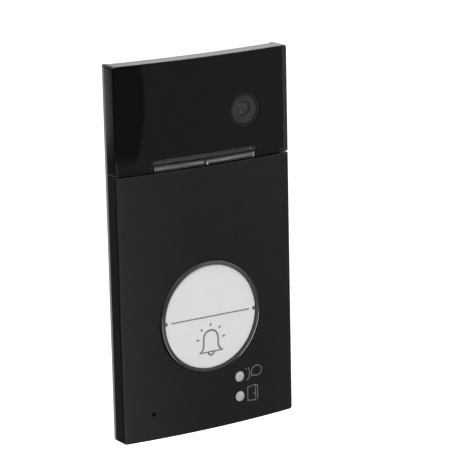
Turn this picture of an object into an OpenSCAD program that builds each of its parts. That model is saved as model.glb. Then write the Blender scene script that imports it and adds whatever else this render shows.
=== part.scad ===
// Video doorbell: a slim door-entry panel that hangs on a wall bracket.
// X runs to the viewer's right, Z up, and the front faces -Y. The wall is the plane y = 0,
// and the origin is the middle of the bracket's screw pattern. "Depth" is the distance from
// the wall, so a point at depth d lies at y = -d.

/* [Panel] */
// Overall width
panel_w = 92.4; // [92:0.1:93]
// Overall height
panel_h = 174.6; // [174.2:0.1:176]
// Depth of the middle of the front face
panel_d = 26; // [25.9:0.1:26.4]
// How far the front face bulges between its side edges and its middle
bow = 3.1; // [2.9:0.1:3.2]
// Radius of the front side edges
edge_r = 1; // [0.6:0.1:1.2]
// Radius of the curve in which the chassis's side rims turn in towards the wall
rim_r = 8.5; // [6:0.5:9]
// Radius of the four corners seen from the front
corner_r = 1.3; // [0.8:0.1:2]
// Height of the seam between cover and front plate above the panel's middle
seam_z = 37.4; // [36.8:0.1:37.8]
// Width of that seam
seam_gap = 0.6; // [0.4:0.1:0.8]

/* [Front pieces] */
// Depth of the front pieces' side walls, front edge to chassis
skin_d = 6.9; // [6.8:0.05:7]
// Wall thickness of the metal front plate
plate_wall = 2; // [1.8:0.1:2.2]
// Wall thickness of the smoked cover
cover_wall = 2.5; // [2.2:0.1:2.6]
// Thickness of the chassis plate and of its visible rim
chassis_t = 2; // [1.9:0.1:2.1]
// Half length of the light strip in the cover's lower edge
strip_half = 27; // [24:0.5:28]
// Height of the part of the light strip that shows below the cover
strip_h = 2.7; // [2:0.1:3]

/* [Call button] */
// Height of the button's centre (negative is below the panel's middle)
button_z = -33.5; // [-35:0.1:-33]
// Outer radius of the clear cap
cap_r = 26.4; // [25.8:0.1:26.6]
// Radius of the name label
label_r = 24.4; // [23:0.1:24.4]
// How far the cap stands in front of the middle of the front face
cap_proud = 0.2; // [0:0.05:0.4]
// Travel of the button
travel = 0.8; // [0.4:0.1:0.8]

/* [Camera] */
// Sideways place of the lens
camera_x = 22.9; // [22:0.1:23]
// Height of the lens
camera_z = 59.8; // [59.5:0.1:61.5]
// Outer radius of the light shroud around the lens
collar_r = 8; // [7.6:0.1:8]

/* [Status windows] */
// Sideways place of both windows
window_x = 15.2; // [14.5:0.1:15.5]
// Height of the talk window
talk_z = -65.2; // [-65.8:0.1:-65]
// Height of the door window
door_z = -74.8; // [-75.2:0.1:-74.4]
// Radius of each window
window_r = 2.6; // [2.3:0.1:2.7]
// Sideways place of the microphone
mic_x = -31.1; // [-31.5:0.1:-30.8]
// Height of the microphone
mic_z = -75.1; // [-75.5:0.1:-74.5]

/* [Rear and wall] */
// Width of the rear cover
rear_w = 73; // [72.6:0.1:73.2]
// Height of the rear cover
rear_h = 166; // [165:0.5:167]
// Wall thickness of the rear cover
rear_wall = 2; // [1.8:0.1:2]
// Thickness of the steel wall bracket
bracket_t = 1.5; // [1.2:0.1:1.5]
// Distance between the two wall-box screws
box_pitch = 60; // [58:0.5:62]
// Distance between the two wall-plug screws
plug_pitch = 120; // [116:1:122]
// Radius of the bracket's screw holes
wall_hole_r = 2.2; // [2:0.1:2.4]

/* [Hidden] */

$fn = 48;
bow_fn = 360;               // fineness of the bowed faces
tall = 400;                 // longer than anything it cuts
clear = 0.05;               // gap between static pieces that meet
snug = 0.15;                // visible joint between the front pieces and the chassis

half_w = panel_w / 2;
half_h = panel_h / 2;
bow_r = (half_w * half_w + bow * bow) / (2 * bow);

chassis_d = panel_d - skin_d;             // middle of the chassis plate's front
chassis_back_d = chassis_d - chassis_t;   // middle of its rear
plate_top = seam_z - seam_gap / 2;
cover_bottom = seam_z + seam_gap / 2;
strip_top = cover_bottom + strip_h;

strip_board_z = seam_z + 2.6;   // height of the board behind the light strip
strip_board_h = 4.2;
flange_h = 4.7;             // height of the light strip's hidden flange

pcb_d = 12.2;               // front of the main circuit board
pcb_t = 1.6;
pcb_back_d = pcb_d - pcb_t;
pcb_w = 54;
pcb_top = -7;
pcb_bottom = -80;

joint_d = 13;               // where chassis and rear cover meet
rim_d = chassis_d - bow;    // where the chassis's side rims start to curve in
rim_w = 3;                  // thickness of the side rims
seal_t = 1;                 // housing seal
floor_d = 6;                // inside of the rear cover's floor
floor_t = 2;
floor_back_d = floor_d - floor_t;
wall_seal_t = 1;

button_floor_d = 18.8;      // flat pad of the chassis behind the button
button_floor_t = 2.6;
button_floor_back_d = button_floor_d - button_floor_t;
hole_gap = 0.3;             // around the cap, in the front plate
cap_t = 0.8;
cap_front_d = panel_d + cap_proud;
label_front_d = cap_front_d - cap_t;
label_t = 0.3;
carrier_front_d = label_front_d - label_t;
carrier_t = 1.8;
carrier_back_d = carrier_front_d - carrier_t;
carrier_r = cap_r - 1.2;
leg_ring = 22;              // radius of the circle of guide legs
switch_x = 13;
spring_place = 15;
pusher_end_d = 17.9;        // where the carrier's pushers meet the switch plungers
switch_top_d = 15.8;
peg_r = 0.9;

speaker_z = 14;
speaker_r = 20;
speaker_seat_d = 15.6;
gasket_t = 0.6;
flange_d = speaker_seat_d - gasket_t;
flange_t = 0.8;
flange_back_d = flange_d - flange_t;

camera_board_d = 15.2;
camera_board_t = 1.2;
camera_board_w = 22;
holder_w = 14;
barrel_r = 4.9;

ribbon_x = 24.5;
ribbon_w = 6;
ribbon_t = 0.3;

housing_spots = [for (s = [-1, 1], z = [-78, 0, 78]) [s * 31.5, z]];
plate_spots = [for (s = [-1, 1], z = [-60, 27]) [s * 30.5, z]];
cover_spots = [for (s = [-1, 1]) each [[s * 18, 77.5], [s * 31.6, 45.5]]];
pcb_spots = [for (s = [-1, 1]) each [[s * 24, -76], [s * 17, -11]]];
camera_spots = [for (s = [-1, 1]) [camera_x + s * 8.8, camera_z + s * 8.8]];
speaker_spots = [for (a = [60, 180, 300]) [22.4 * cos(a), speaker_z + 22.4 * sin(a)]];
leg_angles = [0, 90, 180, 270];
field_led_x = [for (i = [-2.5:2.5]) i * 9];
terminal_x = [for (i = [-1.5:1.5]) i * 4.6];

// Depth of a bowed face at a sideways place, for the depth of its middle
function bowed(x, middle) = middle - bow_r + sqrt(bow_r * bow_r - x * x);

// ---------- drawing helpers ----------

// Places children at a point seen from the front
module at(x, z) {
    translate([x, 0, z]) children();
}

// Places children at each of a list of such points
module at_each(spots) {
    for (p = spots) at(p[0], p[1]) children();
}

// Flat outline seen from the front, made solid between two depths
module slab(front, back) {
    translate([0, -back, 0]) rotate([90, 0, 0]) linear_extrude(front - back) children();
}

// Plan outline seen from above, made solid between two heights
module column(low, high) {
    translate([0, 0, low]) linear_extrude(high - low) children();
}

// Round bar whose axis runs from the wall to the front
module bar(r, front, back) {
    translate([0, -back, 0]) rotate([90, 0, 0]) cylinder(r = r, h = front - back);
}

// Round ring between two depths
module ring(outer, inner, front, back) {
    difference() {
        bar(outer, front, back);
        bar(inner, front + 1, back - 1);
    }
}

// Rectangular block centred on the depth axis
module block(w, h, front, back) {
    translate([-w / 2, -front, -h / 2]) cube([w, front - back, h]);
}

// Rectangle with rounded corners
module rounded(w, h, r) {
    square([w - 2 * r, h], center = true);
    square([w, h - 2 * r], center = true);
    for (x = [-1, 1], y = [-1, 1]) {
        translate([x * (w / 2 - r), y * (h / 2 - r)]) circle(r);
    }
}

// Front view of the panel, a touch wide so that its corner arcs cross the side faces
module corner_outline() {
    rounded(panel_w + 0.02, panel_h, corner_r);
}

// Plan of everything behind the bowed face whose middle is at this depth
module bowed_plan(middle) {
    translate([0, bow_r - middle]) circle(bow_r, $fn = bow_fn);
}

// The same as a tall solid, to cut pieces to the bow
module behind_bow(middle) {
    column(-tall / 2, tall / 2) bowed_plan(middle);
}

// Plan of a panel that is full width, bowed in front and rounded at both side edges
module panel_plan(middle, inset, r) {
    half = half_w - inset;
    y_edge = bow_r - middle - sqrt(pow(bow_r - r, 2) - pow(half - r, 2));
    x_edge = (half - r) * bow_r / (bow_r - r);
    intersection() {
        bowed_plan(middle);
        translate([-x_edge, -middle - 1]) square([2 * x_edge, middle + 1]);
    }
    for (s = [-1, 1]) translate([s * (half - r), y_edge]) circle(r);
    translate([-half, y_edge]) square([2 * half, -y_edge]);
}

// Pan-head screw, head towards the wall
module screw(r, head_r, head_t, seat, tip) {
    bar(r, tip, seat);
    difference() {
        bar(head_r, seat, seat - head_t);
        slab(seat - head_t + 0.9, seat - head_t - 1) for (a = [0, 90]) {
            rotate(a) square([head_r * 1.1, 0.6], center = true);
        }
    }
}

// Straight round wire between two points
module wire(p, q, r) {
    v = q - p;
    translate(p) rotate([0, acos(v[2] / norm(v)), atan2(v[1], v[0])]) cylinder(r = r, h = norm(v));
}

// ---------- rear and wall ----------

// Steel plate screwed to the wall, with two hooks and a foot for the security screw
module wall_bracket() {
    plate_w = 54;
    plate_low = -78.6;
    plate_high = 70;
    foot_low = -80.2;
    foot_d = 9;
    hook_z = 60;
    color("silver") {
        difference() {
            slab(bracket_t, 0) difference() {
                translate([0, (plate_low + plate_high) / 2]) rounded(plate_w, plate_high - plate_low, 4);
                rounded(34, 44, 3);
            }
            for (z = [-1, 1]) {
                at(0, z * box_pitch / 2) bar(wall_hole_r, 3, -1);
                at(0, z * plug_pitch / 2) bar(wall_hole_r, 3, -1);
            }
        }
        for (s = [-1, 1]) at(s * 20, hook_z) {
            translate([-4, -7.8, 0]) cube([8, 7.8 - bracket_t, 1.5]);
            translate([-4, -7.8, 1.5]) cube([8, 1.4, 3.5]);
        }
        difference() {
            translate([-7, -foot_d, foot_low]) cube([14, foot_d, plate_low - foot_low]);
            translate([0, -6, foot_low - 1]) cylinder(r = 1.5, h = 4);
        }
    }
}

// Foam strip that keeps rain out between rear cover and wall
module wall_seal() {
    color("dimgray") slab(wall_seal_t - clear, 0) difference() {
        rounded(rear_w, rear_h, 5);
        rounded(rear_w - 2 * rear_wall, rear_h - 2 * rear_wall, 3);
    }
}

// Rear shell: a tray whose floor stands off the wall to make room for the bracket
module rear_cover() {
    inner_w = rear_w - 2 * rear_wall;
    inner_h = rear_h - 2 * rear_wall;
    color([0.1, 0.1, 0.11]) difference() {
        union() {
            slab(joint_d - clear, wall_seal_t) difference() {
                rounded(rear_w, rear_h, 5);
                rounded(inner_w, inner_h, 3);
            }
            slab(floor_d, floor_back_d) rounded(inner_w + 1, inner_h + 1, 3);
            at_each(housing_spots) bar(2.9, joint_d - clear, floor_d - 1);
            // pads that rest on the bracket
            for (x = [-1, 1], z = [-44, 44]) {
                at(x * 20, z) block(8, 6, floor_back_d + 1, bracket_t + clear);
            }
            // thick spot for the security screw
            translate([-6, -floor_back_d - 6, -rear_h / 2]) cube([12, 7, rear_wall + 0.6]);
        }
        at_each(housing_spots) bar(1.6, joint_d + 1, floor_back_d - 1);
        // terminal window, also the way in for the cable
        at(0, -10) block(26, 24, floor_d + 1, floor_back_d - 1);
        // slots for the bracket's hooks
        for (s = [-1, 1]) at(s * 20, 59) block(9.4, 5.4, floor_d + 1, floor_back_d - 1);
        // slot for the bracket's foot
        at(0, -79.1) block(15, 2.8, floor_d + 1, floor_back_d - 1);
        translate([0, -6, -rear_h / 2 - 1]) cylinder(r = 1.7, h = 8);
    }
}

// Pin-head screw that locks the panel on its bracket, from below
module security_screw() {
    head_z = -rear_h / 2 - clear;
    color("gainsboro") translate([0, -6, head_z]) {
        cylinder(r = 1.45, h = 6);
        difference() {
            translate([0, 0, -1.8]) cylinder(r = 2.75, h = 1.8);
            translate([0, 0, -2]) cylinder(r = 1.3, h = 1.2, $fn = 6);
        }
    }
}

// Rubber ring between rear cover and chassis
module housing_seal() {
    color([0.13, 0.13, 0.13]) slab(joint_d + seal_t - clear, joint_d) difference() {
        rounded(rear_w - 0.2, rear_h - 0.2, 5);
        rounded(rear_w - 2 * rear_wall + 0.4, rear_h - 2 * rear_wall + 0.4, 3);
    }
}

// Six screws from the rear cover into the chassis
module housing_screws() {
    color("silver") at_each(housing_spots) screw(1.3, 2.8, 1.8, floor_back_d - clear, 16);
}

// ---------- chassis and front pieces ----------

// Plan of the chassis's two side rims: straight at first, then curving in towards the wall
module side_rims() {
    for (s = [-1, 1]) intersection() {
        translate([s * (half_w - rim_r), -rim_d]) {
            circle(rim_r);
            translate([-rim_r, -panel_d]) square([2 * rim_r, panel_d]);
        }
        translate([s * (half_w - rim_w / 2), -panel_d / 2 - joint_d]) {
            square([rim_w, panel_d], center = true);
        }
    }
}

// Carrier of everything: a bowed plate whose rims show behind the front pieces
module chassis() {
    color([0.12, 0.12, 0.13]) difference() {
        union() {
            // bowed plate with deep side rims
            intersection() {
                column(-half_h, half_h) intersection() {
                    bowed_plan(chassis_d - snug);
                    union() {
                        difference() {
                            translate([rim_w / 2 - half_w, -panel_d]) {
                                square([panel_w - rim_w, panel_d]);
                            }
                            bowed_plan(chassis_back_d);
                        }
                        side_rims();
                    }
                }
                slab(panel_d, 0) corner_outline();
            }
            // skirt that meets the rear cover
            difference() {
                slab(chassis_back_d + 0.5, joint_d + seal_t) difference() {
                    rounded(rear_w, rear_h, 5);
                    rounded(rear_w - 2 * rear_wall, rear_h - 2 * rear_wall, 3);
                }
                behind_front_cut(chassis_back_d + 0.5);
            }
            // flat pad behind the call button
            at(0, button_z) bar(28, button_floor_d, button_floor_back_d);
            // bosses behind the plate, and the loudspeaker's seat
            difference() {
                union() {
                    at_each(housing_spots) bar(2.9, chassis_back_d + 0.5, joint_d);
                    at_each(pcb_spots) bar(2.5, chassis_back_d + 0.5, pcb_d + clear);
                    at_each(camera_spots) bar(1.7, chassis_back_d + 0.5, camera_board_d + clear);
                    at_each(speaker_spots) bar(2, chassis_back_d + 0.5, flange_back_d + clear);
                    at(0, speaker_z) ring(speaker_r, 17.6, chassis_back_d + 0.5, speaker_seat_d);
                }
                behind_front_cut(chassis_back_d + 0.5);
            }
            // collar that holds the microphone boot
            at(mic_x, mic_z) ring(5.2, 4.1, 20.5, 17);
            // pads under the light board
            for (s = [-1, 1]) at(s * 24, strip_board_z) block(4, strip_board_h, 19.65, 17);
        }
        at_each(housing_spots) bar(1.35, 16.2, joint_d - 1);
        at_each(pcb_spots) bar(1.05, 15.6, pcb_d - 1);
        at_each(camera_spots) bar(0.85, 16.4, camera_board_d - 1);
        at_each(speaker_spots) bar(1.05, 16, flange_back_d - 1);
        at_each(concat(plate_spots, cover_spots)) bar(1.5, panel_d, joint_d);
        // holes for the button's pushers and guide legs
        for (s = [-1, 1]) at(s * switch_x, button_z) bar(3, panel_d, joint_d);
        for (a = leg_angles) at(0, button_z) slab(panel_d, joint_d) {
            rotate(a) translate([leg_ring + 0.5, 0]) square([4, 6], center = true);
        }
        // holes for the light pipes, the lens and the microphone's leads
        for (z = [talk_z, door_z]) at(window_x, z) bar(window_r + 0.3, panel_d, joint_d);
        at(camera_x, camera_z) block(holder_w + 1, holder_w + 1, panel_d, joint_d);
        at(mic_x + 1, mic_z) bar(1.2, panel_d, joint_d);
        // sound slots in front of the loudspeaker
        for (i = [-3:3]) at(0, speaker_z + i * 4) {
            block(2 * sqrt(pow(15, 2) - pow(i * 4, 2)), 1.8, panel_d, joint_d);
        }
    }
}

// Everything in front of a bowed face, used to trim what stands on the chassis's rear
module behind_front_cut(middle) {
    difference() {
        translate([-tall / 4, -panel_d - 5, -tall / 4]) cube([tall / 2, panel_d - 8, tall / 2]);
        behind_bow(middle);
    }
}

// Bowed shell between two heights, open towards the chassis
module front_shell(low, high, wall, side) {
    intersection() {
        column(low, high) difference() {
            panel_plan(panel_d, 0, edge_r);
            bowed_plan(chassis_d);
        }
        slab(panel_d + 1, 0) corner_outline();
        difference() {
            column(low, high) square(tall, center = true);
            column(low + side, high - side) panel_plan(panel_d - wall, side, 0.5);
        }
    }
}

// Screw boss inside a front shell, cut to the bow of the chassis
module front_boss(p, r, wall) {
    difference() {
        intersection() {
            at(p[0], p[1]) bar(r, panel_d, 10);
            behind_bow(panel_d - wall + 0.5);
        }
        behind_bow(chassis_d);
    }
}

// Die-cast plate with the button opening, the window holes and the microphone hole
module front_plate() {
    color([0.16, 0.16, 0.17]) difference() {
        union() {
            front_shell(-half_h, plate_top, plate_wall, 2);
            for (p = plate_spots) front_boss(p, 2.8, plate_wall);
            // guide collar behind the button opening
            intersection() {
                at(0, button_z) ring(28.2, cap_r + hole_gap, panel_d, button_floor_d + 0.8);
                behind_bow(panel_d - plate_wall + 0.5);
            }
        }
        at_each(plate_spots) bar(1.25, 23, joint_d);
        at(0, button_z) bar(cap_r + hole_gap, panel_d + 2, chassis_back_d);
        for (z = [talk_z, door_z]) at(window_x, z) bar(window_r + 0.1, panel_d + 2, chassis_d);
        at(mic_x, mic_z) bar(0.95, panel_d + 2, chassis_d);
    }
}

// Four screws through the chassis into the front plate
module front_plate_screws() {
    color("silver") for (p = plate_spots) {
        at(p[0], p[1]) screw(1.2, 2.5, 1.6, bowed(abs(p[0]) + 2.5, chassis_back_d) - clear, 22);
    }
}

// Upper glossy cover, with a notch in its lower edge for the light strip
module smoked_cover() {
    color([0.08, 0.08, 0.09, 0.6]) difference() {
        union() {
            front_shell(cover_bottom, half_h, cover_wall, 2);
            for (p = cover_spots) front_boss(p, 2.4, cover_wall);
        }
        at_each(cover_spots) bar(1.25, 22.4, joint_d);
        translate([-strip_half - 0.3, -panel_d - 1, cover_bottom - 1]) {
            cube([2 * strip_half + 0.6, panel_d, strip_top - cover_bottom + 1.3]);
        }
        translate([-strip_half - 1.8, -panel_d + cover_wall, cover_bottom - 1]) {
            cube([2 * strip_half + 3.6, panel_d, flange_h + 1.3]);
        }
    }
}

// Four screws through the chassis into the cover
module cover_screws() {
    color("silver") for (p = cover_spots) {
        at(p[0], p[1]) screw(1.2, 2.4, 1.6, bowed(abs(p[0]) + 2.4, chassis_back_d) - clear, 21.8);
    }
}

// ---------- light strip ----------

// Clear bar in the cover's notch, with a flange behind the cover
module light_guide() {
    color([0.9, 0.92, 0.93, 0.5]) difference() {
        intersection() {
            union() {
                translate([-strip_half, -panel_d, cover_bottom + 0.1]) {
                    cube([2 * strip_half, 4.1, strip_h]);
                }
                intersection() {
                    translate([-strip_half - 1.4, -panel_d, cover_bottom + 0.1]) {
                        cube([2 * strip_half + 2.8, panel_d - 21.9, flange_h]);
                    }
                    behind_bow(panel_d - cover_wall - 0.15);
                }
            }
            behind_bow(panel_d - 0.25);
        }
        // ribs that scatter the light downwards
        for (i = [-13:13]) translate([i * 2, -panel_d, cover_bottom]) {
            rotate([0, 0, 45]) cube([0.5, 0.5, 1], center = true);
        }
    }
}

// Narrow board behind the strip
module led_board() {
    color("whitesmoke") at(0, strip_board_z) block(2 * strip_half, strip_board_h, 20.7, 19.7);
}

// Six white lamps on it
module field_leds() {
    color([0.95, 0.93, 0.7]) for (x = field_led_x) {
        at(x, strip_board_z) block(3, 1.4, 21.7, 20.7 + clear / 5);
    }
}

// ---------- camera ----------

// Small board behind the chassis, held by two screws
module camera_board() {
    color("seagreen") difference() {
        at(camera_x, camera_z) {
            block(camera_board_w, camera_board_w, camera_board_d, camera_board_d - camera_board_t);
        }
        at_each(camera_spots) bar(1.1, 20, 10);
    }
}

// Square chip behind the lens
module image_sensor() {
    color([0.15, 0.17, 0.25]) at(camera_x, camera_z) {
        block(6.5, 5.5, camera_board_d + 0.9, camera_board_d + clear / 5);
    }
}

// Square socket with a round bore for the lens barrel
module lens_holder() {
    base_front = 18.7;
    color([0.1, 0.1, 0.1]) at(camera_x, camera_z) difference() {
        union() {
            block(holder_w, holder_w, base_front, camera_board_d + clear / 5);
            bar(6, 20.4, base_front - 1);
        }
        bar(barrel_r + 0.05, 21, 17);
        block(9, 9, 17.5, camera_board_d - 1);
    }
}

// Round lens barrel with a wider front flange
module lens_barrel() {
    color([0.05, 0.05, 0.05]) at(camera_x, camera_z) difference() {
        union() {
            bar(barrel_r, 21, 17.1);
            bar(6.1, 21.7, 20.45);
        }
        bar(3.6, 22, 20.2);
        bar(2.2, 21, 16);
    }
}

// Front lens element, a shallow dome
module lens_glass() {
    dome_r = 5.2;
    color([0.3, 0.35, 0.5, 0.6]) at(camera_x, camera_z) intersection() {
        bar(3.55, 23, 20.25);
        translate([0, -21.9 + dome_r, 0]) sphere(dome_r);
    }
}

// Rubber shroud between the smoked cover and the chassis
module camera_collar() {
    color([0.2, 0.2, 0.2]) at(camera_x, camera_z) difference() {
        bar(collar_r, 22.05, 19);
        bar(6.5, 23, 20.8);
        bar(7.1, 21, 18);
    }
}

// Two screws that hold the camera board
module camera_screws() {
    color("silver") at_each(camera_spots) {
        screw(0.8, 1.7, 1.1, camera_board_d - camera_board_t - clear, 16.2);
    }
}

// Flat cable from the camera board down to the main board
module camera_ribbon() {
    path = [[-13.1, camera_z - 6], [-13.1, 51], [-9.4, 43], [-9.4, -1], [-9.8, -7.6]];
    color("peru") translate([ribbon_x - ribbon_w / 2, 0, 0]) {
        rotate([90, 0, 90]) linear_extrude(ribbon_w) polygon(concat(
            [for (p = path) [p[0], p[1]]],
            [for (i = [len(path) - 1:-1:0]) [path[i][0] + ribbon_t, path[i][1]]]
        ));
    }
}

// Sockets for the two ends of the flat cable
module ribbon_connectors() {
    color("ivory") {
        at(ribbon_x, camera_z - 4.4) {
            block(8, 3, camera_board_d - camera_board_t - clear, 12.4);
        }
        at(ribbon_x, -9.4) block(8, 3.4, pcb_back_d - clear, 9.2);
    }
}

// ---------- main board ----------

// Main circuit board
module main_pcb() {
    color("darkgreen") difference() {
        at(0, (pcb_top + pcb_bottom) / 2) block(pcb_w, pcb_top - pcb_bottom, pcb_d, pcb_back_d);
        at_each(pcb_spots) bar(1.5, pcb_d + 1, pcb_back_d - 1);
    }
}

// Four screws that hold it
module pcb_screws() {
    color("silver") at_each(pcb_spots) screw(1, 2.3, 1.4, pcb_back_d - clear, 15.3);
}

// Flat chips on its rear face: processor, memory, sound chip, power chip
module pcb_chips() {
    chips = [[-11, -47, 13, 13, 1.2], [6, -47, 9, 11, 1], [-12, -64, 7, 7, 0.9], [12, -63, 6, 8, 1.4]];
    color([0.12, 0.12, 0.12]) for (c = chips) {
        at(c[0], c[1]) block(c[2], c[3], pcb_back_d - clear / 5, pcb_back_d - c[4]);
    }
}

// Three round capacitors on its rear face
module pcb_capacitors() {
    color("lightslategray") at_each([[20, -32], [20, -40], [-21, -30]]) {
        bar(3.1, pcb_back_d - clear / 5, pcb_back_d - 4);
    }
}

// Four-way screw terminal, reached through the rear cover's window
module terminal_block() {
    block_z = -15.5;
    color("seagreen") at(0, block_z) difference() {
        block(20, 9, pcb_back_d - clear / 5, 3);
        for (x = terminal_x) at(x, 0) {
            bar(1.75, 7, 2);
            translate([-1.6, -9.6, 1]) cube([3.2, 3, 5]);
        }
    }
}

// Its clamp screws
module terminal_screws() {
    color("silver") for (x = terminal_x) at(x, -15.5) difference() {
        bar(1.65, 6.2, 3.8);
        slab(4.6, 3) square([4, 0.6], center = true);
    }
}

// Two square tactile switches on the front of the board
module switch_bodies() {
    color([0.15, 0.15, 0.15]) for (s = [-1, 1]) at(s * switch_x, button_z) difference() {
        block(6, 6, switch_top_d, pcb_d + clear / 5);
        bar(1.75, switch_top_d + 1, 13);
    }
}

// Plunger of one switch, pressed by the button's pusher
module switch_plunger(side) {
    color("white") at(side * switch_x, button_z) {
        bar(1.7, 17.5, 13 + 0.1 + travel);
        bar(2.3, pusher_end_d, 17.2);
    }
}

module switch_plunger_left() {
    switch_plunger(-1);
}

module switch_plunger_right() {
    switch_plunger(1);
}

// Lamps behind the two status windows
module status_leds() {
    color([0.9, 0.95, 0.85]) for (z = [talk_z, door_z]) {
        at(window_x, z) block(3.2, 2, pcb_d + 0.9, pcb_d + clear / 5);
    }
}

// Milky rod that carries a lamp's light to its window, flush with the bowed face
module light_pipe(z) {
    color([0.8, 0.8, 0.8]) intersection() {
        at(window_x, z) {
            bar(window_r, panel_d, 13.5);
            bar(window_r + 1, 23.2, 22.2);
        }
        behind_bow(panel_d - 0.05);
    }
}

module talk_light_pipe() {
    light_pipe(talk_z);
}

module door_light_pipe() {
    light_pipe(door_z);
}

// Round microphone capsule
module mic_capsule() {
    color("silver") at(mic_x, mic_z) bar(3, 21.4, 19.2);
}

// Rubber boot that seals the capsule to the front plate
module mic_boot() {
    color([0.12, 0.12, 0.12]) at(mic_x, mic_z) difference() {
        bar(4, 22.1, 18.2);
        bar(3.03, 21.42, 17);
        bar(0.8, 23, 21);
    }
}

// ---------- loudspeaker ----------

// Pressed basket with a flat flange
module speaker_basket() {
    color("gray") at(0, speaker_z) rotate([90, 0, 0]) rotate_extrude($fn = 96) {
        polygon([
            [speaker_r - 0.2, flange_d], [17.7, flange_d], [17.2, flange_back_d], [12, 11.9],
            [9.2, 11.9], [9.2, 11.1], [12.4, 11.1], [17.9, flange_back_d], [speaker_r - 0.2, flange_back_d]
        ]);
    }
}

// Thin sound-making dish
module speaker_cone() {
    color([0.2, 0.2, 0.2]) at(0, speaker_z) rotate([90, 0, 0]) rotate_extrude($fn = 96) {
        polygon([[17.1, 14.9], [9, 13.2], [0, 14.2], [0, 13.9], [9, 12.9], [17.1, 14.55]]);
    }
}

// Round magnet pot
module speaker_magnet() {
    color("darkgray") at(0, speaker_z) bar(9.1, 12.4, 7.6);
}

// Foam ring between loudspeaker and chassis
module speaker_gasket() {
    color([0.15, 0.15, 0.15]) at(0, speaker_z) {
        ring(speaker_r - 0.1, 17.7, speaker_seat_d - clear, flange_d + clear);
    }
}

// Three screws whose heads hold the loudspeaker's flange
module speaker_screws() {
    color("silver") at_each(speaker_spots) screw(1, 2.9, 1.2, flange_back_d - clear, 15.8);
}

// Two thin wires from the loudspeaker to its connector
module speaker_leads() {
    color("firebrick") for (i = [0, 1]) {
        wire([-11 - 2 * i, -9.6, speaker_z - 12.4 + 2.4 * i], [-22 - 2 * i, -9.6, -7.4], 0.45);
    }
}

// Their connector on the main board
module speaker_connector() {
    color("ivory") at(-23, -10) block(6, 4, pcb_back_d - clear, 8.4);
}

// ---------- call button ----------

// Clear cap: a flat face, a side wall and two pegs that locate the label
module button_cap() {
    wall = 1;
    edge = 0.4;
    skirt_d = 22.4;
    color([0.85, 0.87, 0.88, 0.4]) at(0, button_z) {
        rotate([90, 0, 0]) rotate_extrude($fn = 96) {
            translate([0, label_front_d]) square([cap_r - edge, cap_t]);
            translate([cap_r - wall, skirt_d]) square([wall, cap_front_d - edge - skirt_d]);
            translate([cap_r - edge, cap_front_d - edge]) circle(edge);
        }
        for (s = [-1, 1]) at(s * label_r, 0) bar(peg_r, label_front_d + 0.2, carrier_front_d - 0.6);
    }
}

// White name label with a half-round notch at each side
module name_label() {
    color("white") at(0, button_z) difference() {
        bar(label_r, label_front_d - 0.02, carrier_front_d + 0.02);
        for (s = [-1, 1]) at(s * label_r, 0) bar(peg_r + 0.08, label_front_d + 1, carrier_front_d - 1);
    }
}

// Gray moulding behind the label: rim, pushers, spring pegs and four guide legs with hooks
module button_carrier() {
    hook_front = button_floor_back_d - clear;
    color([0.35, 0.35, 0.36]) at(0, button_z) {
        difference() {
            union() {
                bar(carrier_r, carrier_front_d, carrier_back_d);
                ring(carrier_r, label_r + 0.1, label_front_d - 0.02, carrier_front_d - 0.1);
            }
            for (s = [-1, 1]) at(s * label_r, 0) bar(peg_r + 0.1, panel_d, carrier_front_d - 0.8);
        }
        for (s = [-1, 1]) at(s * switch_x, 0) bar(2, carrier_back_d + 0.2, pusher_end_d);
        for (x = [-1, 1], z = [-1, 1]) {
            at(x * spring_place, z * spring_place) bar(1.5, carrier_back_d + 0.2, carrier_back_d - 1.2);
        }
        for (a = leg_angles) slab(carrier_back_d + 0.2, hook_front - 0.7) {
            rotate(a) translate([leg_ring, 0]) square([2, 5], center = true);
        }
        for (a = leg_angles) slab(hook_front, hook_front - 0.7) {
            rotate(a) translate([leg_ring + 1.7, 0]) square([3, 5], center = true);
        }
    }
}

// Four small compression springs between the carrier and the chassis
module return_springs() {
    wire_r = 0.25;
    mid_r = 2.2;
    turns = 4;
    steps = 12;
    sides = 6;
    front = carrier_back_d - clear - wire_r;
    back = button_floor_d + clear + wire_r;
    count = turns * steps;
    function spot(i, j) =
        let (a = 360 * i / steps, b = 360 * j / sides, r = mid_r + wire_r * cos(b))
        [r * cos(a), -(back + (front - back) * i / count) - wire_r * sin(b), r * sin(a)];
    points = [for (i = [0:count], j = [0:sides - 1]) spot(i, j)];
    walls = [
        for (i = [0:count - 1], j = [0:sides - 1])
            let (k = (j + 1) % sides)
            [i * sides + j, i * sides + k, (i + 1) * sides + k, (i + 1) * sides + j]
    ];
    ends = [
        [for (j = [sides - 1:-1:0]) j],
        [for (j = [0:sides - 1]) count * sides + j]
    ];
    color("silver") for (x = [-1, 1], z = [-1, 1]) {
        at(x * spring_place, button_z + z * spring_place) {
            polyhedron(points = points, faces = concat(walls, ends));
        }
    }
}

wall_bracket();
wall_seal();
rear_cover();
security_screw();
housing_seal();
housing_screws();
chassis();
front_plate();
front_plate_screws();
smoked_cover();
cover_screws();
light_guide();
led_board();
field_leds();
camera_board();
image_sensor();
lens_holder();
lens_barrel();
lens_glass();
camera_collar();
camera_screws();
camera_ribbon();
ribbon_connectors();
main_pcb();
pcb_screws();
pcb_chips();
pcb_capacitors();
terminal_block();
terminal_screws();
switch_bodies();
switch_plunger_left();
switch_plunger_right();
status_leds();
talk_light_pipe();
door_light_pipe();
mic_capsule();
mic_boot();
speaker_basket();
speaker_cone();
speaker_magnet();
speaker_gasket();
speaker_screws();
speaker_leads();
speaker_connector();
button_cap();
name_label();
button_carrier();
return_springs();
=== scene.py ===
"""Looks of a slim video doorbell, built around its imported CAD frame.

Sizes are in millimetres. A place is (x, depth, z): x to the viewer's right, depth out from the
wall, z up, with the origin in the middle of the bracket's screw pattern.
"""

import math
from types import SimpleNamespace

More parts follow.
